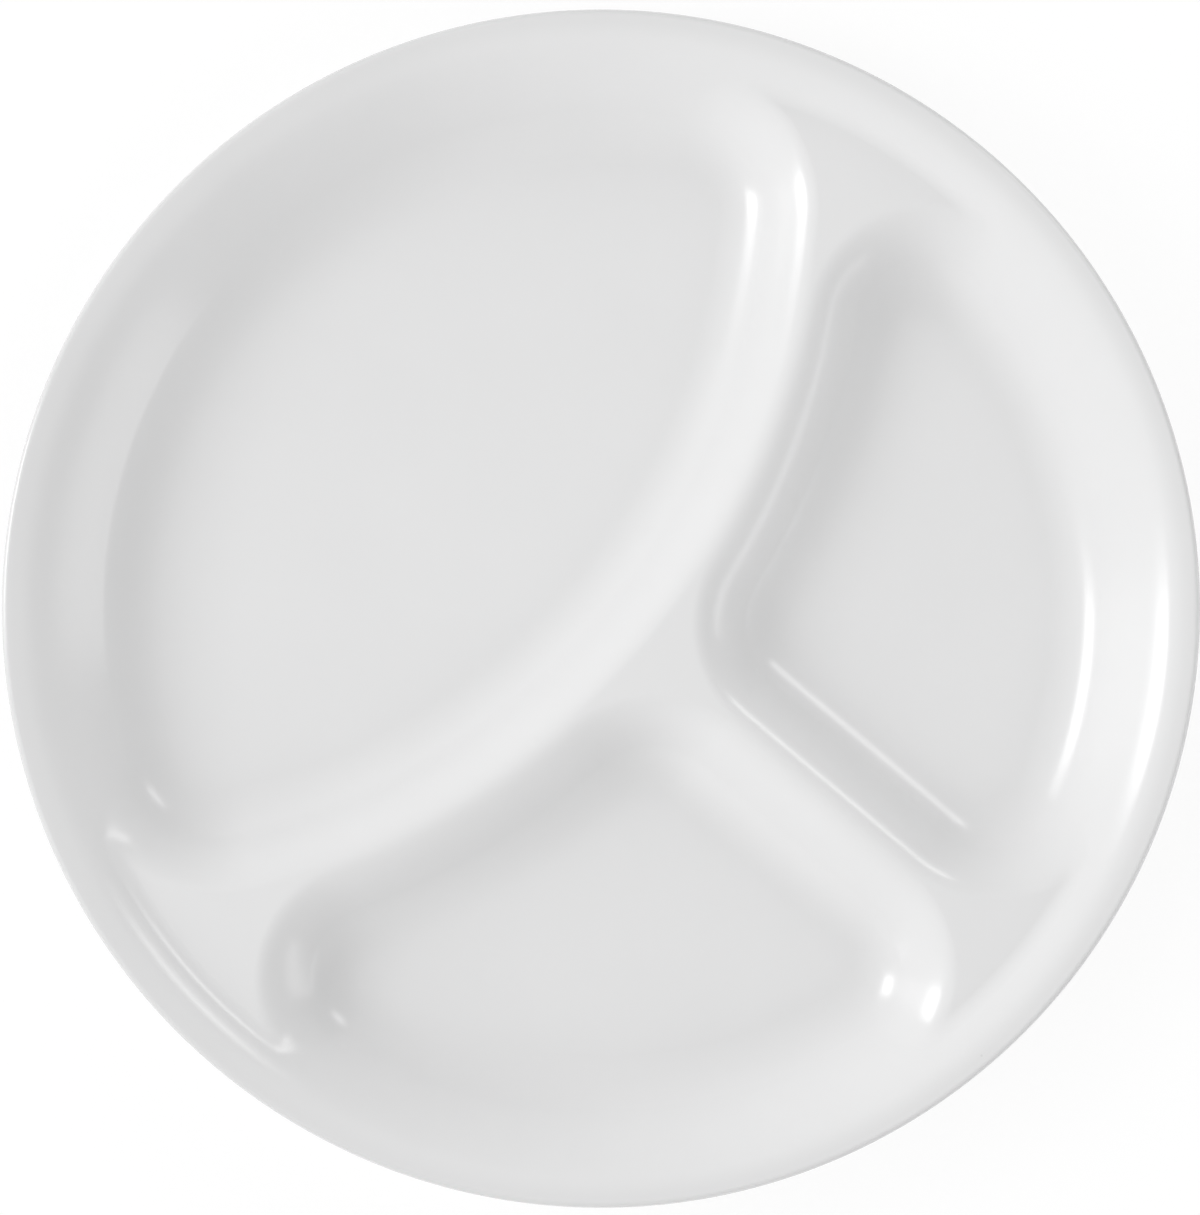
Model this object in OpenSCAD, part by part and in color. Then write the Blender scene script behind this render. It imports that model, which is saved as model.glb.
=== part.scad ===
// Divided compartment plate, pressed from one sheet of laminated glass.
// A curved divider crosses the plate and a straight one halves the smaller side,
// so the plate has one large compartment and two small ones that mirror each other.
// The straight divider points to -Y. The floors' undersides lie on z = 0.

/* [Plate] */
// Diameter over the rounded edge of the rim
plate_d = 260; // [240:1:285]
// Thickness of the glass, with both skins
glass_t = 2.6; // [2.2:0.1:3.2]
// Thickness of each clear skin over the opal core
skin_t = 0.15; // [0.1:0.01:0.25]

/* [Rim wall] */
// Plan width of wall and lip together, from the flat floor to the plate's edge
wall_w = 30.4; // [29.6:0.2:32]
// Slope at the top of every cove, where a wall is steepest, in degrees
wall_angle = 46; // [44:1:48]
// Radius of the cove where a floor turns up into a wall
cove_r = 15; // [13:0.5:16]
// Plan width of the brow, over which the rim wall turns out into the lip
brow_w = 7; // [5:0.5:9]
// Distance from the middle of the brow to the plate's edge
lip_w = 6.2; // [5.4:0.2:7]
// Slope of the lip at its edge, in degrees
lip_angle = 10; // [6:1:14]

/* [Dividers] */
// Width of a divider at the level of the floors
divider_w = 44.4; // [42:0.2:46]
// Radius on top of a divider's crest, which widens down the flanks
crest_r = 4.7; // [3.8:0.1:6]
// Radius of the curved divider's centreline
arc_r = 163.5; // [155:0.5:175]
// Distance from the plate's centre to the curved divider's centreline
arc_offset = 12.7; // [10:0.1:16]
// Radius of the hollow where a crest runs into the rim wall
nook_r = 3.5; // [2.7:0.1:4.3]

/* [Compartments] */
// Corner radius of the large floor
large_corner_r = 10.5; // [8:0.5:16]
// Radius of the small floors' tips, between the curved divider and the rim
tip_corner_r = 4.7; // [3:0.1:6]
// Corner radius of the small floors beside the straight divider
small_corner_r = 6.3; // [4:0.1:9]

/* [Hidden] */

plate_r = plate_d / 2;
half_w = divider_w / 2;
floor_r = plate_r - wall_w;
edge_r = glass_t / 2;
core_edge_r = edge_r - skin_t;
// Radius at which the top face ends and the half-round edge begins
top_r = plate_r - edge_r * (cos(lip_angle) + sin(lip_angle));
// Centre of the curved divider's arc
arc_centre = [0, arc_r - arc_offset];

// The cove is a circle's arc, up to the wall's steepest place
slope = tan(wall_angle);
cove_w = cove_r * sin(wall_angle);
cove_h = cove_r * (1 - cos(wall_angle));

// A divider's flank and crest are one hyperbola, crest_a long in its half axis
flank_w = half_w - cove_w;
crest_turn = crest_r * slope / flank_w;
crest_a = crest_turn * flank_w / sqrt(1 - crest_turn ^ 2);
crest_slope = crest_a / crest_r;
crest_h = cove_h + crest_slope * (norm([crest_a, flank_w]) - crest_a);

// The rim wall, brow and lip are another, tilted, with its middle at brow_centre
brow_a = brow_w / 2;
brow_centre = wall_w - lip_w;
brow_bend = (slope - tan(lip_angle)) / (turned(top_r - floor_r) - turned(cove_w));
brow_slope = slope + brow_bend * turned(cove_w);
brow_base = cove_h - brow_rise(cove_w);
brow_ring_share = 3 / 4;
brow_low = brow_centre - brow_ring_share * brow_a;
brow_high = brow_centre + brow_ring_share * brow_a;

// Where the rim wall rises through the level of the crests, from the root of the hyperbola
nook_drop = crest_h - brow_base;
nook_root = sqrt(nook_drop ^ 2 + brow_a ^ 2 * (brow_slope ^ 2 - brow_bend ^ 2));
nook_k = brow_centre + (nook_drop ^ 2 - (brow_bend * brow_a) ^ 2)
    / (brow_slope * nook_drop - brow_bend * nook_root);
// Its hollow, which never reaches past the brow
nook_w = min(nook_r * slope / 2, brow_low - nook_k);
nook_h = nook_w * slope;
nook_low_r = floor_r + nook_k - nook_w;
nook_high_r = floor_r + nook_k + nook_w;

// Counts of steps along the outlines, from one junction to the next
straight_steps = 6;
curve_steps = 8;
quarter_steps = 14;
shoulder_steps = 3;
crown_steps = 10;
// Counts of steps across a cove and over half a crest
cove_steps = 3;
crest_steps = 3;
// Change of slope from one point of a crest to the next, half of it at the top and
// half at the cove, in degrees
crest_step_angle = wall_angle / (crest_steps - 1 / 2);
// Turns of the edge from the face's own direction, in degrees
edge_turn = 45;
// Two points nearer than this are one
same = skin_t / 1000;

function unit(v) = v / norm(v);
function flip(v) = [-v.x, v.y];
function even(from, to, steps) = [for (i = [1:steps]) from + (to - from) * i / steps];

// How far along its turn the brow is at distance w, from -1 to 1
function turned(w) = (w - brow_centre) / norm([brow_a, w - brow_centre]);
// Height of the brow's hyperbola over its own base
function brow_rise(w) =
    brow_slope * (w - brow_centre) - brow_bend * norm([brow_a, w - brow_centre]);

// Heights above the floor. k is the distance out from a compartment's floor outline,
// and w is the distance out from the circle that the floors share.
function arch(r, away) = sqrt(r ^ 2 - away ^ 2);
function crest_z(k) =
    k <= 0 ? 0 :
    k < cove_w ? cove_r - arch(cove_r, k) :
    crest_h - crest_slope * (norm([crest_a, max(0, half_w - k)]) - crest_a);
function rim_z(w) = w < cove_w ? cove_h + slope * (w - cove_w) : brow_base + brow_rise(w);

// Slopes of the same sections
function crest_tan(k) =
    k <= 0 ? 0 :
    k < cove_w ? k / arch(cove_r, k) :
    k < half_w ? crest_slope * (half_w - k) / norm([crest_a, half_w - k]) : 0;
function rim_tan(w) = w < cove_w ? slope : brow_slope - brow_bend * turned(w);
// Distance from the top of a crest to where its flank has a given slope
function crest_x(angle) = crest_a * tan(angle) / sqrt(crest_slope ^ 2 - tan(angle) ^ 2);

// The higher of crest and rim wall, with a hollow blended in between the two
function blend(k, w) = min(nook_h, slope * (min(k, half_w) - w));
function crest_share(k, w) =
    let (gap = crest_z(k) - rim_z(w), b = blend(k, w))
    b <= same ? (gap > 0 ? 1 : 0) : min(1, max(0, (1 + gap / b) / 2));
function height(k, w) =
    let (crest = crest_z(k), rim = rim_z(w), b = blend(k, w))
    max(crest, rim) + (b <= same ? 0 : max(0, b - abs(crest - rim)) ^ 2 / (4 * b));

// A point of the sheet, at a depth below the top face measured square to that face
function sheet_point(p, k, out, depth) =
    let (w = norm(p) - floor_r, share = crest_share(k, w),
         rise = share * crest_tan(k) * out + (1 - share) * rim_tan(w) * unit(p))
    [p.x, p.y, glass_t + height(k, w)] - depth * unit([-rise.x, -rise.y, 1]);

// Centres of the floor corners on the +X side, named after what meets there
function two_circles(r, s) =
    let (y = (r ^ 2 + arc_centre.y ^ 2 - s ^ 2) / (2 * arc_centre.y))
    [sqrt(r ^ 2 - y ^ 2), y];
large_corner = two_circles(floor_r - large_corner_r, arc_r - half_w - large_corner_r);
tip_corner = two_circles(floor_r - tip_corner_r, arc_r + half_w + tip_corner_r);
inner_x = half_w + small_corner_r;
curve_corner = [inner_x, arc_centre.y - arch(arc_r + half_w + small_corner_r, inner_x)];
rim_corner = [inner_x, -arch(floor_r - small_corner_r, inner_x)];

// Direction of a point from the plate's centre, and from the arc's centre off -Y
function bearing(p) = atan2(p.y, p.x);
function swing(p) = atan2(p.x, arc_centre.y - p.y);

// Foot on a floor's outline and outward direction there, for a point outside the floor
function foot_on_rim(p) = [floor_r * unit(p), unit(p)];
function foot_on_arc(p, r, side) =
    let (out = unit(p - arc_centre)) [arc_centre + r * out, side * out];
function foot_on_corner(p, centre, r) =
    let (out = unit(p - centre)) [centre + r * out, out];

function large_foot_right(p) =
    bearing(p) >= bearing(large_corner) ? foot_on_rim(p) :
    swing(p) <= swing(large_corner) ? foot_on_arc(p, arc_r - half_w, 1) :
    foot_on_corner(p, large_corner, large_corner_r);

function small_foot_right(p) =
    norm(p) > floor_r && bearing(p) >= bearing(rim_corner) && bearing(p) <= bearing(tip_corner) ?
        foot_on_rim(p) :
    norm(p - arc_centre) < arc_r + half_w && swing(p) >= swing(curve_corner)
        && swing(p) <= swing(tip_corner) ? foot_on_arc(p, arc_r + half_w, -1) :
    p.x < half_w && p.y <= curve_corner.y && p.y >= rim_corner.y ?
        [[half_w, p.y], [-1, 0]] :
    p.y < rim_corner.y && p.x < tip_corner.x ? foot_on_corner(p, rim_corner, small_corner_r) :
    swing(p) < swing(curve_corner) ? foot_on_corner(p, curve_corner, small_corner_r) :
    foot_on_corner(p, tip_corner, tip_corner_r);

// Outlines between the junctions, one point for each step
function rim_point(a) = top_r * [cos(a), sin(a)];
function curve_point(a) = arc_centre + arc_r * [sin(a), -cos(a)];
function swing_at(r) =
    acos((arc_centre.y ^ 2 + arc_r ^ 2 - r ^ 2) / (2 * arc_centre.y * arc_r));
brow_radii = [for (w = [brow_low, brow_centre, brow_high]) floor_r + w];
shelf_radii = [top_r, brow_radii[2], brow_radii[1], brow_radii[0], nook_high_r, nook_low_r];
junction_swing = swing_at(top_r);
junction_angle = bearing(curve_point(junction_swing));

rim_angles = concat([-90], even(-90, 0, quarter_steps), even(0, junction_angle, shoulder_steps),
                    even(junction_angle, 90, crown_steps));
half_count = len(rim_angles) - 1;
rim_count = 2 * half_count;
junction = quarter_steps + shoulder_steps;
rim_points = concat([for (a = rim_angles) rim_point(a)],
                    [for (i = [half_count - 1:-1:1]) flip(rim_point(rim_angles[i]))]);

curve_swings = concat([for (i = [1:len(shelf_radii) - 1]) swing_at(shelf_radii[i])],
                      even(swing_at(nook_low_r), 0, curve_steps));
curve_count = len(curve_swings);
curve_points = concat([for (a = curve_swings) curve_point(a)],
                      [for (i = [curve_count - 2:-1:0]) flip(curve_point(curve_swings[i]))]);

straight_points = concat(
    [for (i = [1:straight_steps]) [0, -arc_offset + (arc_offset - nook_low_r) * i / straight_steps]],
    [for (i = [len(shelf_radii) - 2:-1:1]) [0, -shelf_radii[i]]]);
straight_count = len(straight_points);

border = concat(rim_points, curve_points, straight_points);
first_curve = rim_count;
centre_curve = first_curve + curve_count - 1;
last_curve = first_curve + 2 * curve_count - 2;
first_straight = last_curve + 1;
last_straight = last_curve + straight_count;

// The three compartments, each with its border running counterclockwise seen from above
loops = [
    concat([for (i = [junction:rim_count - junction]) i],
           [for (i = [last_curve:-1:first_curve]) i]),
    concat([for (i = [0:junction]) i],
           [for (i = [first_curve:centre_curve]) i],
           [for (i = [first_straight:last_straight]) i]),
    concat([for (i = [rim_count - junction:rim_count - 1]) i], [0],
           [for (i = [last_straight:-1:first_straight]) i],
           [for (i = [centre_curve:last_curve]) i])
];

// Foot and direction for a border point, in compartment c
function foot(c, p) =
    c == 0 ? (p.x < 0 ? [for (v = large_foot_right(flip(p))) flip(v)] : large_foot_right(p)) :
    c == 1 ? small_foot_right(p) :
    [for (v = small_foot_right(flip(p))) flip(v)];

// Distance along a ray to the circle of radius r about the plate's centre
function reach(start, out, r) = let (b = start * out) sqrt(b ^ 2 + r ^ 2 - start * start) - b;

// Distances out from the floor at which a ray has a point, clipped to its border point
function levels(start, out, end) =
    let (low = reach(start, out, nook_low_r), high = reach(start, out, nook_high_r),
         on_rim = reach(start, out, floor_r + nook_k) - nook_k < same,
         cove = [for (i = [0:cove_steps]) cove_r * sin(wall_angle * i / cove_steps)],
         crest = [for (i = [crest_steps - 1:-1:0])
             min(half_w - crest_x(crest_step_angle * i), low)],
         middle = on_rim ? [nook_k, for (i = [0:crest_steps]) nook_k] : concat(crest, [low, high]),
         brow = [for (r = brow_radii) reach(start, out, r)])
    [for (k = concat(cove, middle, brow)) min(k, end)];
// The floor's own point, the cove's, the crest's, the hollow's two and the brow's
level_count = 1 + cove_steps + crest_steps + 2 + len(brow_radii);

rays = [for (c = [0:2]) [for (i = loops[c])
    let (f = foot(c, border[i]), end = norm(border[i] - f[0]))
    [f[0], f[1], levels(f[0], f[1], end), end, i]]];
first_ray_point = [
    len(border),
    len(border) + level_count * len(loops[0]),
    len(border) + level_count * (len(loops[0]) + len(loops[1]))
];

// Index of a ray's point at level j, where equal levels share one point
function index(c, i, j) =
    let (ray = rays[c][i])
    j == level_count || ray[3] - ray[2][j] < same ? ray[4] :
    j > 0 && ray[2][j] - ray[2][j - 1] < same ? index(c, i, j - 1) :
    first_ray_point[c] + level_count * i + j;

function surface_points(depth) = concat(
    [for (p = border) sheet_point(p, half_w, unit(p), depth)],
    [for (c = [0:2]) for (ray = rays[c]) for (k = ray[2])
        sheet_point(ray[0] + k * ray[1], k, ray[1], depth)]);

function is_triangle(t) = t[0] != t[1] && t[1] != t[2] && t[2] != t[0];
surface_faces = concat(
    [for (c = [0:2]) [for (i = [0:len(loops[c]) - 1]) index(c, i, 0)]],
    [for (c = [0:2]) for (i = [0:len(loops[c]) - 1]) for (j = [0:level_count - 1])
        let (n = (i + 1) % len(loops[c]),
             a = index(c, i, j), b = index(c, n, j),
             d = index(c, i, j + 1), e = index(c, n, j + 1))
        for (t = [[a, d, e], [a, e, b]]) if (is_triangle(t)) t]);

function reversed(f) = [for (i = [len(f) - 1:-1:0]) f[i]];

// One glass layer between two depths. turns lists radius and turn of each ring of the edge.
module layer(top_depth, bottom_depth, turns) {
    top = surface_points(top_depth);
    bottom = surface_points(bottom_depth);
    edge = [for (turn = turns) for (i = [0:rim_count - 1])
        let (out = unit(rim_points[i]),
             face = sheet_point(rim_points[i], half_w, out, edge_r),
             square = [-sin(lip_angle) * out.x, -sin(lip_angle) * out.y, cos(lip_angle)],
             along = [cos(lip_angle) * out.x, cos(lip_angle) * out.y, sin(lip_angle)])
        face + turn[0] * (cos(turn[1]) * square + sin(turn[1]) * along)];
    count = len(top);
    rings = concat([0], [for (q = [0:len(turns) - 1]) 2 * count + q * rim_count], [count]);
    edge_faces = [for (q = [0:len(rings) - 2]) for (i = [0:rim_count - 1])
        let (n = (i + 1) % rim_count)
        for (t = [[rings[q] + i, rings[q] + n, rings[q + 1] + n],
                  [rings[q] + i, rings[q + 1] + n, rings[q + 1] + i]]) t];
    polyhedron(
        points = concat(top, bottom, edge),
        faces = concat([for (f = surface_faces) reversed(f)],
                       [for (f = surface_faces) [for (v = f) v + count]],
                       edge_faces));
}

// Opal white glass, which gives the plate its colour and most of its strength
module opal_core() {
    color([0.93, 0.93, 0.925])
        layer(skin_t, glass_t - skin_t,
              [for (i = [1:3]) [core_edge_r, edge_turn * i]]);
}

// Clear glass over the food side, down to the middle of the rounded edge
module upper_skin() {
    color([0.85, 0.89, 0.9])
        layer(0, skin_t,
              [[edge_r, edge_turn], [edge_r, 2 * edge_turn],
               [core_edge_r, 2 * edge_turn], [core_edge_r, edge_turn]]);
}

// Clear glass over the underside, up to the middle of the rounded edge
module lower_skin() {
    color([0.8, 0.85, 0.88])
        layer(glass_t - skin_t, glass_t,
              [[core_edge_r, 3 * edge_turn], [core_edge_r, 2 * edge_turn],
               [edge_r, 2 * edge_turn], [edge_r, 3 * edge_turn]]);
}

opal_core();
upper_skin();
lower_skin();
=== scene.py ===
"""Divided compartment plate: fine glass surfaces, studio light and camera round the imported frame.

The plate is one pressed sheet, so every surface of it is the same height function at a
different depth. Each glass layer is a closed mesh on rays that leave a floor's outline square
to it and end on the border of that compartment.
"""

from math import acos, asinh, atan2, cos, hypot, pi, radians, sin, sinh, sqrt, tan

import bpy
import numpy as np
from mathutils import Matrix, Vector


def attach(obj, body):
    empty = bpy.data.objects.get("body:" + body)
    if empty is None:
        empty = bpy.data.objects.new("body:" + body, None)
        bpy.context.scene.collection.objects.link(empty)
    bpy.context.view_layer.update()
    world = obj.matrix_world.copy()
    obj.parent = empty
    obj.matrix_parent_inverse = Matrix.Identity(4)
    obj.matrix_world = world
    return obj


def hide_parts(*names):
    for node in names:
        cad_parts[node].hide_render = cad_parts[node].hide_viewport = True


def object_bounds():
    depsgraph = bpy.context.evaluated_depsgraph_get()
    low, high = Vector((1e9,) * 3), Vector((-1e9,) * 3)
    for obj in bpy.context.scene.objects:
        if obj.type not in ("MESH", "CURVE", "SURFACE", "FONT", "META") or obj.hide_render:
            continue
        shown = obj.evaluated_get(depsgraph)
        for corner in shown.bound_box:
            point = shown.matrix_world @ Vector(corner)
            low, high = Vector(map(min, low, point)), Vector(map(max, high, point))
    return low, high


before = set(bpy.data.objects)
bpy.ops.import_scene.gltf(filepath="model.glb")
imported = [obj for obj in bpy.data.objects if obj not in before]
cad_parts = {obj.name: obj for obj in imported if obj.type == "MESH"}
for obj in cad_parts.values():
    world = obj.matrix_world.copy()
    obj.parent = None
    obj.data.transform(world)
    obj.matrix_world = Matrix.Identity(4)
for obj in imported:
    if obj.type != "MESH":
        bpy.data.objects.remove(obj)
cad_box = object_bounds()

MM = 0.001

# Driving dimensions of the pressed sheet, the same as the solids'
PLATE_R = (cad_box[1].x - cad_box[0].x) / 2
GLASS_T = 2.6 * MM
SKIN_T = 0.15 * MM
WALL_W = 30.4 * MM
WALL_ANGLE = radians(46)
COVE_R = 15 * MM
BROW_W = 7 * MM
LIP_W = 6.2 * MM
LIP_ANGLE = radians(10)
HALF_W = 22.2 * MM
CREST_R = 4.7 * MM
ARC_R = 163.5 * MM
ARC_OFFSET = 12.7 * MM
NOOK_R = 3.5 * MM
LARGE_CORNER_R = 10.5 * MM
TIP_CORNER_R = 4.7 * MM
SMALL_CORNER_R = 6.3 * MM

# The glass: colour and gloss of the opal, and gloss of the clear fire-polished skin over it
GLASS_WHITE = (0.83, 0.83, 0.832)
OPAL_IOR = 1.5
OPAL_SPECULAR = 0.2
SKIN_IOR = 1.52
SKIN_ROUGHNESS = 0.2

# Clouds in the melt: their noise, the part of its range that shows, and shade and gloss at its ends
CLOUD_SCALE = 22
CLOUD_DETAIL = 4
CLOUD_RANGE = (0.3, 0.7)
CLOUD_SHADES = (1.008, 0.992)
OPAL_ROUGHNESS = (0.25, 0.19)

# Specks in the melt: cells to a metre, where in a cell a speck is full and where it ends, and shade
SPECK_SCALE = 60
SPECK_REACH = (0.008, 0.024)
SPECK_SHADE = 0.9

# Painted shade on the lip and edge: darker colour standing in for the light their thin glass lets
# through, and where the lip's begins
LIP_PAINTED_SHADE_W = 0.8 * LIP_W
LIP_PAINTED_SHADE = 0.948
EDGE_PAINTED_SHADE = 0.92

# Soft waves that pressing leaves in the surface
RIPPLE_SCALE = 90
RIPPLE_DETAIL = 2
RIPPLE_STRENGTH = 0.06
RIPPLE_H = 0.4 * MM

# The table: how far it reaches and how far it lies below, its colour, and the white it shows
TABLE_REACH = 3.0
TABLE_DROP = 0.1 * MM
TABLE_COLOUR = (0.9, 0.9, 0.9, 1)
TABLE_GLOW = 1.04
TABLE_GLOW_SHARE = 0.85

# The photograph: its size, the outline's radius and the plate's centre in it, and its roll
PICTURE_W, PICTURE_H = 1200, 1215
OUTLINE_PX = 599
CENTRE_PX = (600.96, 608.65)
PICTURE_TURN = radians(49.85)

# The camera: its height over the table in metres, and its sensor's width in millimetres
CAMERA_HEIGHT = 0.70
SENSOR_W = 36

# Soft lights: azimuth in the picture and elevation in degrees, and strength
SOFT_SHARPNESS = 14
SOFT_LIGHTS = [
    (45, 8, 0.75),
    (90, 8, 1.25),
    (225, 8, 1.1),
    (60, 22, 0.9),
    (120, 22, 1.6),
    (210, 22, 1.5),
    (300, 22, 1.2),
    (45, 42, 0.25),
    (180, 42, 2.25),
    (315, 42, 2.25),
]

# Light panels: name, azimuth and elevation in degrees, width and height in metres, and radiance
PANEL_DISTANCE = 1.2
PANELS = [
    ("left panel", 171.5, 30, 0.36, 0.40, 6.7),
    ("left low panel", 172, 9, 0.42, 0.22, 0.8),
    ("right low panel", -15, 6.5, 0.9, 0.2, 2.0),
    ("right strip", 43, 32, 0.33, 0.20, 3.6),
]

# Steps along the outlines between junctions, and across the section of a wall
STRAIGHT_STEPS = 40
CURVE_STEPS = 48
QUARTER_STEPS = 90
SHOULDER_STEPS = 20
CROWN_STEPS = 70
COVE_STEPS = 12
CREST_STEPS = 14
SHELF_STEPS = 3
NOOK_STEPS = 6
BROW_STEPS = 14
EDGE_STEPS = 8

# A length under which points count as one, and the step at which slopes are taken
SAME = 1e-7
STEP = 0.01 * MM

# Derived sizes of the section
EDGE_R = GLASS_T / 2
CORE_EDGE_R = EDGE_R - SKIN_T
FLOOR_R = PLATE_R - WALL_W
TOP_R = PLATE_R - EDGE_R * (cos(LIP_ANGLE) + sin(LIP_ANGLE))
ARC_Y = ARC_R - ARC_OFFSET
ARC_CENTRE = np.array([0.0, ARC_Y])
SLOPE = tan(WALL_ANGLE)
COVE_W = COVE_R * sin(WALL_ANGLE)
COVE_H = COVE_R * (1 - cos(WALL_ANGLE))

# A divider's flank and crest are one hyperbola
FLANK_W = HALF_W - COVE_W
CREST_TURN = CREST_R * SLOPE / FLANK_W
CREST_A = CREST_TURN * FLANK_W / sqrt(1 - CREST_TURN**2)
CREST_SLOPE = CREST_A / CREST_R
CREST_H = COVE_H + CREST_SLOPE * (hypot(CREST_A, FLANK_W) - CREST_A)

# The rim wall, brow and lip are another, tilted one
BROW_A = BROW_W / 2
BROW_CENTRE = WALL_W - LIP_W


def turned_share(w):
    """How far along its turn the brow is at distance w, from -1 to 1."""
    return (w - BROW_CENTRE) / np.hypot(BROW_A, w - BROW_CENTRE)


BROW_BEND = (SLOPE - tan(LIP_ANGLE)) / float(
    turned_share(TOP_R - FLOOR_R) - turned_share(COVE_W)
)
BROW_SLOPE = SLOPE + BROW_BEND * float(turned_share(COVE_W))


def brow_rise(w):
    """Height of the brow's hyperbola over its own base."""
    return BROW_SLOPE * (w - BROW_CENTRE) - BROW_BEND * np.hypot(BROW_A, w - BROW_CENTRE)


BROW_BASE = COVE_H - float(brow_rise(COVE_W))
BROW_LOW = BROW_CENTRE - 3 / 4 * BROW_A

# Where the rim wall rises through the level of the crests, and its hollow there
NOOK_DROP = CREST_H - BROW_BASE
NOOK_ROOT = sqrt(NOOK_DROP**2 + BROW_A**2 * (BROW_SLOPE**2 - BROW_BEND**2))
NOOK_K = BROW_CENTRE + (NOOK_DROP**2 - (BROW_BEND * BROW_A) ** 2) / (
    BROW_SLOPE * NOOK_DROP - BROW_BEND * NOOK_ROOT
)
NOOK_W = min(NOOK_R * SLOPE / 2, BROW_LOW - NOOK_K)
NOOK_H = NOOK_W * SLOPE
NOOK_LOW_R = FLOOR_R + NOOK_K - NOOK_W
NOOK_HIGH_R = FLOOR_R + NOOK_K + NOOK_W


def arch(radius, away):
    """Height of a circle's arc over its centre, at a distance away from the centre."""
    return np.sqrt(np.maximum(radius**2 - np.clip(away, -radius, radius) ** 2, 0))


def crest_z(k):
    """Section over a divider: flat floor, cove, flank and rounded crest."""
    cove = COVE_R - arch(COVE_R, np.clip(k, 0, COVE_W))
    from_top = np.maximum(HALF_W - k, 0)
    crest = CREST_H - CREST_SLOPE * (np.hypot(CREST_A, from_top) - CREST_A)
    return np.where(k < COVE_W, cove, crest)


def rim_z(w):
    """Section over the rim: wall, brow and lip, and the wall's tangent below the cove."""
    return np.where(w < COVE_W, COVE_H + SLOPE * (w - COVE_W), BROW_BASE + brow_rise(w))


def height(k, w):
    """The higher of crest and rim wall, with a hollow blended in between the two."""
    crest, rim = crest_z(k), rim_z(w)
    blend = np.minimum(NOOK_H, SLOPE * (np.minimum(k, HALF_W) - w))
    reach_in = np.maximum(blend - np.abs(crest - rim), 0)
    return np.maximum(crest, rim) + np.where(
        blend > SAME, reach_in**2 / (4 * np.maximum(blend, SAME)), 0
    )


def unit(v):
    """v at length one."""
    return v / np.linalg.norm(v)


def flip(v):
    """v on the other side of the plate's mirror plane."""
    return np.array([-v[0], v[1]])


def two_circles(r, s):
    """Where circles of radius r about the plate and s about the arc's centre meet, on +X."""
    y = (r**2 + ARC_Y**2 - s**2) / (2 * ARC_Y)
    return np.array([sqrt(r**2 - y**2), y])


LARGE_CORNER = two_circles(FLOOR_R - LARGE_CORNER_R, ARC_R - HALF_W - LARGE_CORNER_R)
TIP_CORNER = two_circles(FLOOR_R - TIP_CORNER_R, ARC_R + HALF_W + TIP_CORNER_R)
INNER_X = HALF_W + SMALL_CORNER_R
CURVE_CORNER = np.array([INNER_X, ARC_Y - arch(ARC_R + HALF_W + SMALL_CORNER_R, INNER_X)])
RIM_CORNER = np.array([INNER_X, -arch(FLOOR_R - SMALL_CORNER_R, INNER_X)])


def bearing(p):
    """Direction of p from the plate's centre."""
    return atan2(p[1], p[0])


def swing(p):
    """Direction of p from the arc's centre, counted from -Y."""
    return atan2(p[0], ARC_Y - p[1])


def foot_on_arc(p, r, side):
    """Foot and outward direction on the curved divider's edge of radius r."""
    out = unit(p - ARC_CENTRE)
    return ARC_CENTRE + r * out, side * out


def foot_on_corner(p, centre, r):
    """Foot and outward direction on a rounded corner."""
    out = unit(p - centre)
    return centre + r * out, out


def large_foot(p):
    """Foot on the large floor's outline for a border point on the +X side."""
    if bearing(p) >= bearing(LARGE_CORNER):
        return FLOOR_R * unit(p), unit(p)
    if swing(p) <= swing(LARGE_CORNER):
        return foot_on_arc(p, ARC_R - HALF_W, 1)
    return foot_on_corner(p, LARGE_CORNER, LARGE_CORNER_R)


def small_foot(p):
    """Foot on the +X small floor's outline for a border point of that compartment."""
    if hypot(*p) > FLOOR_R and bearing(RIM_CORNER) <= bearing(p) <= bearing(TIP_CORNER):
        return FLOOR_R * unit(p), unit(p)
    inside = np.linalg.norm(p - ARC_CENTRE) < ARC_R + HALF_W
    if inside and swing(CURVE_CORNER) <= swing(p) <= swing(TIP_CORNER):
        return foot_on_arc(p, ARC_R + HALF_W, -1)
    if p[0] < HALF_W and RIM_CORNER[1] <= p[1] <= CURVE_CORNER[1]:
        return np.array([HALF_W, p[1]]), np.array([-1.0, 0.0])
    if p[1] < RIM_CORNER[1] and p[0] < TIP_CORNER[0]:
        return foot_on_corner(p, RIM_CORNER, SMALL_CORNER_R)
    if swing(p) < swing(CURVE_CORNER):
        return foot_on_corner(p, CURVE_CORNER, SMALL_CORNER_R)
    return foot_on_corner(p, TIP_CORNER, TIP_CORNER_R)


def foot(cell, p):
    """Foot and direction for border point p of the large, right or left compartment."""
    find = large_foot if cell == 0 else small_foot
    if cell == 2 or (cell == 0 and p[0] < 0):
        start, out = find(flip(p))
        return flip(start), flip(out)
    return find(p)


def even(start, end, steps):
    """The values after start, up to end, in equal steps."""
    return [start + (end - start) * i / steps for i in range(1, steps + 1)]


def brow_radii():
    """Radii up the wall and over the brow to the edge, closer together where it turns."""
    low, high = asinh((NOOK_K - BROW_CENTRE) / BROW_A), asinh(LIP_W / BROW_A)
    turns = even(low, high, BROW_STEPS)
    radii = [FLOOR_R + BROW_CENTRE + BROW_A * sinh(turn) for turn in turns]
    return [r for r in radii if NOOK_HIGH_R + SAME < r < TOP_R - SAME]


def reach(start, out, r):
    """Distance along a ray to the circle of radius r about the plate's centre."""
    along = float(start @ out)
    return sqrt(max(along**2 + r**2 - float(start @ start), 0)) - along


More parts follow.
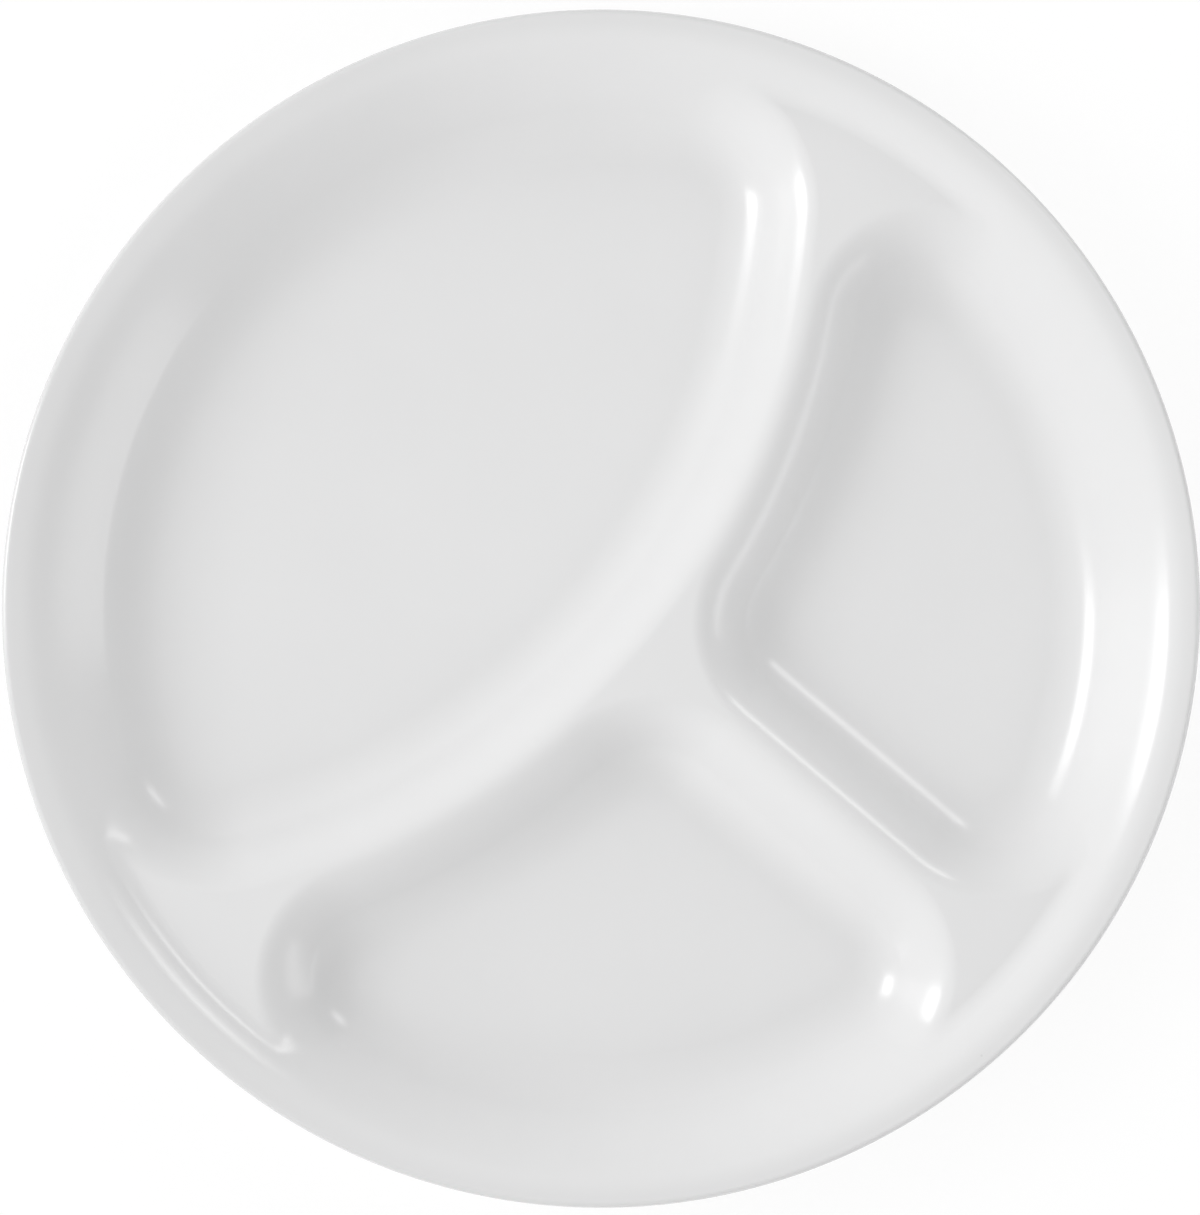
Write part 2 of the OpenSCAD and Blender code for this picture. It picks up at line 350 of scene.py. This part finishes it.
def levels(start, out, end):
    """Distances out from the floor at which a ray has a point."""
    cove = [COVE_R * sin(turn) for turn in [0] + even(0, WALL_ANGLE, COVE_STEPS)]
    low = reach(start, out, NOOK_LOW_R)
    high = reach(start, out, NOOK_HIGH_R)
    if reach(start, out, FLOOR_R + NOOK_K) - NOOK_K < SAME:
        middle = even(COVE_W, high, CREST_STEPS + SHELF_STEPS + NOOK_STEPS)
    else:
        turns = even(asinh(FLANK_W / CREST_A), 0, CREST_STEPS)
        crest = [HALF_W - CREST_A * sinh(turn) for turn in turns]
        middle = [min(k, low) for k in crest + even(min(HALF_W, low), low, SHELF_STEPS)]
        middle += even(low, high, NOOK_STEPS)
    outer = [reach(start, out, r) for r in brow_radii()]
    return [min(k, end) for k in cove + middle + outer]


def border_points():
    """Border points of the compartments, and the three compartments' loops of indices."""
    shelf = [NOOK_LOW_R] + even(NOOK_LOW_R, NOOK_HIGH_R, NOOK_STEPS) + brow_radii()
    shelf.reverse()

    def swing_at(r):
        return acos((ARC_Y**2 + ARC_R**2 - r**2) / (2 * ARC_Y * ARC_R))

    def curve_point(a):
        return ARC_CENTRE + ARC_R * np.array([sin(a), -cos(a)])

    meeting = bearing(curve_point(swing_at(TOP_R)))
    down, up = radians(-90), radians(90)
    angles = [down] + even(down, 0, QUARTER_STEPS) + even(0, meeting, SHOULDER_STEPS)
    angles += even(meeting, up, CROWN_STEPS)
    right = [TOP_R * np.array([cos(a), sin(a)]) for a in angles]
    rim = right + [flip(p) for p in right[-2:0:-1]]
    swings = [swing_at(r) for r in shelf] + even(swing_at(NOOK_LOW_R), 0, CURVE_STEPS)
    half = [curve_point(a) for a in swings]
    curve = half + [flip(p) for p in half[-2::-1]]
    inward = even(-ARC_OFFSET, -NOOK_LOW_R, STRAIGHT_STEPS)[:-1] + [-r for r in shelf[::-1]]
    straight = [np.array([0.0, y]) for y in inward]

    rim_i = list(range(len(rim)))
    curve_i = [len(rim) + i for i in range(len(curve))]
    straight_i = [len(rim) + len(curve) + i for i in range(len(straight))]
    meet = QUARTER_STEPS + SHOULDER_STEPS
    centre = len(half)
    loops = [
        rim_i[meet : len(rim) - meet + 1] + curve_i[::-1],
        rim_i[: meet + 1] + curve_i[:centre] + straight_i,
        rim_i[len(rim) - meet :] + [0] + straight_i[::-1] + curve_i[centre - 1 :],
    ]
    return rim + curve + straight, loops, len(rim)


def build_net():
    """Plan points with their distance and direction out from a floor, and the faces."""
    border, loops, rim_count = border_points()
    plan = list(border)
    away = [HALF_W] * len(border)
    outs = [unit(p) for p in border]
    faces = []
    for cell, loop in enumerate(loops):
        columns = []
        for i in loop:
            start, out = foot(cell, border[i])
            end = float(np.linalg.norm(border[i] - start))
            column = []
            last = None
            for k in levels(start, out, end):
                if end - k < SAME:
                    column.append(i)
                elif last is not None and k - last < SAME:
                    column.append(column[-1])
                else:
                    column.append(len(plan))
                    plan.append(start + k * out)
                    away.append(k)
                    outs.append(out)
                    last = k
            columns.append(column + [i])
        faces.append([column[0] for column in columns])
        for a, b in zip(columns, columns[1:] + columns[:1]):
            for j in range(len(a) - 1):
                corners = [a[j], a[j + 1], b[j + 1], b[j]]
                face = [v for n, v in enumerate(corners) if v != corners[n - 1]]
                if len(face) > 2:
                    faces.append(face)
    return np.array(plan), np.array(away), np.array(outs), faces, rim_count


PLAN, AWAY, OUTS, NET_FACES, RIM_COUNT = build_net()
RADIUS = np.linalg.norm(PLAN, axis=1)


def sheet():
    """Points and normals of the plate's top face."""
    w = RADIUS - FLOOR_R
    z = GLASS_T + height(AWAY, w)
    by_k = (height(AWAY + STEP, w) - height(AWAY - STEP, w)) / (2 * STEP)
    by_w = (height(AWAY, w + STEP) - height(AWAY, w - STEP)) / (2 * STEP)
    rise = by_k[:, None] * OUTS + by_w[:, None] * PLAN / RADIUS[:, None]
    normal = np.column_stack([-rise, np.ones(len(rise))])
    normal /= np.linalg.norm(normal, axis=1)[:, None]
    return np.column_stack([PLAN, z]), normal


TOP, NORMAL = sheet()


def turned(turn):
    """Directions square to the rim that start at the lip's own normal and turn outward."""
    out = PLAN[:RIM_COUNT] / RADIUS[:RIM_COUNT, None]
    flat = np.sin(turn - LIP_ANGLE) * out
    return np.column_stack([flat, np.full(RIM_COUNT, cos(turn - LIP_ANGLE))])


def layer(name, top_depth, bottom_depth, edge):
    """A closed glass layer between two depths. edge lists radius and turn of its edge's rings."""
    count = len(TOP)
    points = [TOP - top_depth * NORMAL, TOP - bottom_depth * NORMAL]
    middle = (TOP - EDGE_R * NORMAL)[:RIM_COUNT]
    for radius, turn in edge[1:-1]:
        points.append(middle + radius * turned(turn))
    rings = [0] + [2 * count + i * RIM_COUNT for i in range(len(edge) - 2)] + [count]
    faces = []
    normals = []
    for face in NET_FACES:
        down = face[::-1]
        faces.append(face)
        normals.append(NORMAL[face])
        faces.append([v + count for v in down])
        normals.append(-NORMAL[down])
    for i, ((r0, t0), (r1, t1)) in enumerate(zip(edge, edge[1:])):
        if r0 == r1:
            side = 1 if t1 > t0 else -1
            upper, lower = side * turned(t0), side * turned(t1)
        else:
            upper = lower = turned(t0 + radians(90) * (1 if r0 > r1 else -1))
        for a in range(RIM_COUNT):
            b = (a + 1) % RIM_COUNT
            faces.append([rings[i] + a, rings[i + 1] + a, rings[i + 1] + b, rings[i] + b])
            normals.append(np.array([upper[a], lower[a], lower[b], upper[b]]))
    mesh = bpy.data.meshes.new(name)
    mesh.from_pydata(np.vstack(points).tolist(), [], faces)
    if mesh.validate():
        raise ValueError(name + " has faulty faces")
    mesh.normals_split_custom_set(np.vstack(normals).tolist())
    piece = bpy.data.objects.new(name, mesh)
    bpy.context.scene.collection.objects.link(piece)
    return piece


def edge_arc(radius, start, end):
    """Rings of one radius from one turn of the edge to another, in degrees."""
    turns = [start] + even(start, end, EDGE_STEPS)
    return [(radius, radians(turn)) for turn in turns]


def node(tree, kind, **values):
    """A new node of a tree, with its properties set."""
    made = tree.nodes.new(kind)
    for key, value in values.items():
        setattr(made, key, value)
    return made


def eased(tree, source, low, high, start, end):
    """A value that goes smoothly from start to end as source goes from low to high."""
    ramp = node(tree, "ShaderNodeMapRange", interpolation_type="SMOOTHSTEP")
    ramp.inputs["From Min"].default_value = low
    ramp.inputs["From Max"].default_value = high
    ramp.inputs["To Min"].default_value = start
    ramp.inputs["To Max"].default_value = end
    tree.links.new(source, ramp.inputs["Value"])
    return ramp.outputs["Result"]


def times(tree, a, b):
    """The product of two factors."""
    product = node(tree, "ShaderNodeMath", operation="MULTIPLY")
    tree.links.new(a, product.inputs[0])
    tree.links.new(b, product.inputs[1])
    return product.outputs[0]


def shade(tree, place, cloud):
    """Factor on the glass's colour: clouds, specks, and painted shade that darkens the lip and
    edge.
    """
    speck = node(tree, "ShaderNodeTexVoronoi")
    speck.inputs["Scale"].default_value = SPECK_SCALE
    flat = node(tree, "ShaderNodeVectorMath", operation="MULTIPLY")
    flat.inputs[1].default_value = (1, 1, 0)
    radius = node(tree, "ShaderNodeVectorMath", operation="LENGTH")
    tree.links.new(place, speck.inputs["Vector"])
    tree.links.new(place, flat.inputs[0])
    tree.links.new(flat.outputs["Vector"], radius.inputs[0])
    clouded = eased(tree, cloud, *CLOUD_RANGE, *CLOUD_SHADES)
    specked = eased(tree, speck.outputs["Distance"], *SPECK_REACH, SPECK_SHADE, 1)
    # Painted shade: the colour darkens over the lip and again over the rounded edge, standing in
    # for light lost through the thin glass
    lip = eased(tree, radius.outputs["Value"], TOP_R - LIP_PAINTED_SHADE_W, TOP_R, 1, LIP_PAINTED_SHADE)
    edge = eased(tree, radius.outputs["Value"], TOP_R, PLATE_R, 1, EDGE_PAINTED_SHADE)
    return times(tree, times(tree, clouded, specked), times(tree, lip, edge))


def opal_gloss(name):
    """Opal white under a clear fire-polished skin, a little clouded and with a few specks."""
    material = bpy.data.materials.new(name)
    material.use_nodes = True
    tree = material.node_tree
    shader = tree.nodes["Principled BSDF"]
    shader.inputs["IOR"].default_value = OPAL_IOR
    shader.inputs["Specular IOR Level"].default_value = OPAL_SPECULAR
    shader.inputs["Coat Weight"].default_value = 1.0
    shader.inputs["Coat Roughness"].default_value = SKIN_ROUGHNESS
    shader.inputs["Coat IOR"].default_value = SKIN_IOR
    place = node(tree, "ShaderNodeTexCoord").outputs["Object"]
    cloud = node(tree, "ShaderNodeTexNoise")
    cloud.inputs["Scale"].default_value = CLOUD_SCALE
    cloud.inputs["Detail"].default_value = CLOUD_DETAIL
    tree.links.new(place, cloud.inputs["Vector"])
    cloud = cloud.outputs["Fac"]
    tint = node(tree, "ShaderNodeVectorMath", operation="SCALE")
    tint.inputs[0].default_value = GLASS_WHITE
    tree.links.new(shade(tree, place, cloud), tint.inputs["Scale"])
    tree.links.new(tint.outputs["Vector"], shader.inputs["Base Color"])
    rough = eased(tree, cloud, *CLOUD_RANGE, *OPAL_ROUGHNESS)
    tree.links.new(rough, shader.inputs["Roughness"])

    ripple = node(tree, "ShaderNodeTexNoise")
    ripple.inputs["Scale"].default_value = RIPPLE_SCALE
    ripple.inputs["Detail"].default_value = RIPPLE_DETAIL
    bump = node(tree, "ShaderNodeBump")
    bump.inputs["Strength"].default_value = RIPPLE_STRENGTH
    bump.inputs["Distance"].default_value = RIPPLE_H
    tree.links.new(place, ripple.inputs["Vector"])
    tree.links.new(ripple.outputs["Fac"], bump.inputs["Height"])
    tree.links.new(bump.outputs["Normal"], shader.inputs["Normal"])
    tree.links.new(bump.outputs["Normal"], shader.inputs["Coat Normal"])
    return material


def dress(piece, node_name, material):
    """Puts a fine layer in its node's place, with its material."""
    piece.data.materials.append(material)
    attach(piece, "root")
    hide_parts(node_name)


upper = layer(
    "upper_skin_glass",
    0,
    SKIN_T,
    edge_arc(EDGE_R, 0, 90) + edge_arc(CORE_EDGE_R, 90, 0),
)
core = layer("opal_core_glass", SKIN_T, GLASS_T - SKIN_T, edge_arc(CORE_EDGE_R, 0, 180))
lower = layer(
    "lower_skin_glass",
    GLASS_T - SKIN_T,
    GLASS_T,
    edge_arc(CORE_EDGE_R, 180, 90) + edge_arc(EDGE_R, 90, 180),
)
dress(upper, "upper_skin", opal_gloss("upper skin on opal"))
dress(core, "opal_core", opal_gloss("opal core"))
dress(lower, "lower_skin", opal_gloss("lower skin on opal"))


def shown_rays(tree):
    """One for the rays that show a background: straight, reflected or through glass."""
    path = node(tree, "ShaderNodeLightPath")
    seen = node(tree, "ShaderNodeMath", operation="MAXIMUM")
    shown = node(tree, "ShaderNodeMath", operation="MAXIMUM")
    tree.links.new(path.outputs["Is Camera Ray"], seen.inputs[0])
    tree.links.new(path.outputs["Is Glossy Ray"], seen.inputs[1])
    tree.links.new(seen.outputs[0], shown.inputs[0])
    tree.links.new(path.outputs["Is Transmission Ray"], shown.inputs[1])
    return shown.outputs[0]


def pale_floor():
    """A wide pale table that reads as white to the camera and keeps a faint shadow."""
    mesh = bpy.data.meshes.new("floor")
    signs = [(-1, -1), (1, -1), (1, 1), (-1, 1)]
    corners = [(x * TABLE_REACH, y * TABLE_REACH, -TABLE_DROP) for x, y in signs]
    mesh.from_pydata(corners, [], [(0, 1, 2, 3)])
    floor = bpy.data.objects.new("floor", mesh)
    bpy.context.scene.collection.objects.link(floor)
    material = bpy.data.materials.new("floor white")
    material.use_nodes = True
    tree = material.node_tree
    tree.nodes.clear()
    out = node(tree, "ShaderNodeOutputMaterial")
    diffuse = node(tree, "ShaderNodeBsdfDiffuse")
    diffuse.inputs["Color"].default_value = TABLE_COLOUR
    glow = node(tree, "ShaderNodeEmission")
    glow.inputs["Strength"].default_value = TABLE_GLOW
    share = node(tree, "ShaderNodeMath", operation="MULTIPLY")
    share.inputs[1].default_value = TABLE_GLOW_SHARE
    mix = node(tree, "ShaderNodeMixShader")
    tree.links.new(shown_rays(tree), share.inputs[0])
    tree.links.new(share.outputs[0], mix.inputs[0])
    tree.links.new(diffuse.outputs[0], mix.inputs[1])
    tree.links.new(glow.outputs[0], mix.inputs[2])
    tree.links.new(mix.outputs[0], out.inputs["Surface"])
    mesh.materials.append(material)


def picture_direction(azimuth, elevation):
    """Model direction of a light seen from the plate, its azimuth counted in the picture."""
    a = azimuth - PICTURE_TURN
    return Vector((cos(a) * cos(elevation), sin(a) * cos(elevation), sin(elevation)))


def soft_world():
    """Soft lights all round, each a smooth lobe of the sky, and white to camera and gloss."""
    world = bpy.data.worlds.new("studio")
    bpy.context.scene.world = world
    world.use_nodes = True
    tree = world.node_tree
    back = tree.nodes["Background"]
    back.inputs["Color"].default_value = (1, 1, 1, 1)
    place = node(tree, "ShaderNodeTexCoord")
    total = None
    for azimuth, elevation, strength in SOFT_LIGHTS:
        dot = node(tree, "ShaderNodeVectorMath", operation="DOT_PRODUCT")
        dot.inputs[1].default_value = picture_direction(radians(azimuth), radians(elevation))
        power = node(tree, "ShaderNodeMath", operation="MULTIPLY_ADD")
        power.inputs[1].default_value = SOFT_SHARPNESS
        power.inputs[2].default_value = -SOFT_SHARPNESS
        lobe = node(tree, "ShaderNodeMath", operation="EXPONENT")
        add = node(tree, "ShaderNodeMath", operation="MULTIPLY_ADD")
        add.inputs[1].default_value = strength
        add.inputs[2].default_value = 0
        tree.links.new(place.outputs["Generated"], dot.inputs[0])
        tree.links.new(dot.outputs["Value"], power.inputs[0])
        tree.links.new(power.outputs[0], lobe.inputs[0])
        tree.links.new(lobe.outputs[0], add.inputs[0])
        if total:
            tree.links.new(total.outputs[0], add.inputs[2])
        total = add
    mix = node(tree, "ShaderNodeMix")
    mix.inputs["B"].default_value = 1
    tree.links.new(shown_rays(tree), mix.inputs["Factor"])
    tree.links.new(total.outputs[0], mix.inputs["A"])
    tree.links.new(mix.outputs["Result"], back.inputs["Strength"])


def panel(name, azimuth, elevation, width, tall, radiance):
    """A square-on light panel that looks at the plate's centre."""
    light = bpy.data.lights.new(name, "AREA")
    light.shape = "RECTANGLE"
    light.size = width
    light.size_y = tall
    light.energy = radiance * width * tall * pi
    lamp = bpy.data.objects.new(name, light)
    towards = picture_direction(radians(azimuth), radians(elevation))
    side = Vector((0, 0, 1)).cross(towards).normalized()
    up = towards.cross(side)
    turn = Matrix((side, up, towards)).transposed().to_4x4()
    lamp.matrix_world = Matrix.Translation(towards * PANEL_DISTANCE) @ turn
    lamp.visible_camera = False
    bpy.context.scene.collection.objects.link(lamp)


def overhead_camera():
    """Straight above the plate, rolled and framed as the photograph is."""
    outline_z = GLASS_T / 2 + float(rim_z(np.array(TOP_R - FLOOR_R)))
    scale = PLATE_R / OUTLINE_PX
    camera = bpy.data.cameras.new("camera")
    camera.sensor_fit = "HORIZONTAL"
    camera.sensor_width = SENSOR_W
    camera.lens = SENSOR_W * (CAMERA_HEIGHT - outline_z) / (scale * PICTURE_W)
    camera.clip_start = 0.01
    eye = bpy.data.objects.new("camera", camera)
    right = picture_direction(0, 0)
    up = picture_direction(radians(90), 0)
    turn = Matrix((right, up, Vector((0, 0, 1)))).transposed().to_4x4()
    move = right * (PICTURE_W / 2 - CENTRE_PX[0]) * scale
    move += up * (CENTRE_PX[1] - PICTURE_H / 2) * scale
    place = Vector((move.x, move.y, CAMERA_HEIGHT))
    eye.matrix_world = Matrix.Translation(place) @ turn
    bpy.context.scene.collection.objects.link(eye)
    bpy.context.scene.camera = eye


pale_floor()
soft_world()
for spec in PANELS:
    panel(*spec)
overhead_camera()
bpy.context.scene.view_settings.view_transform = "Standard"
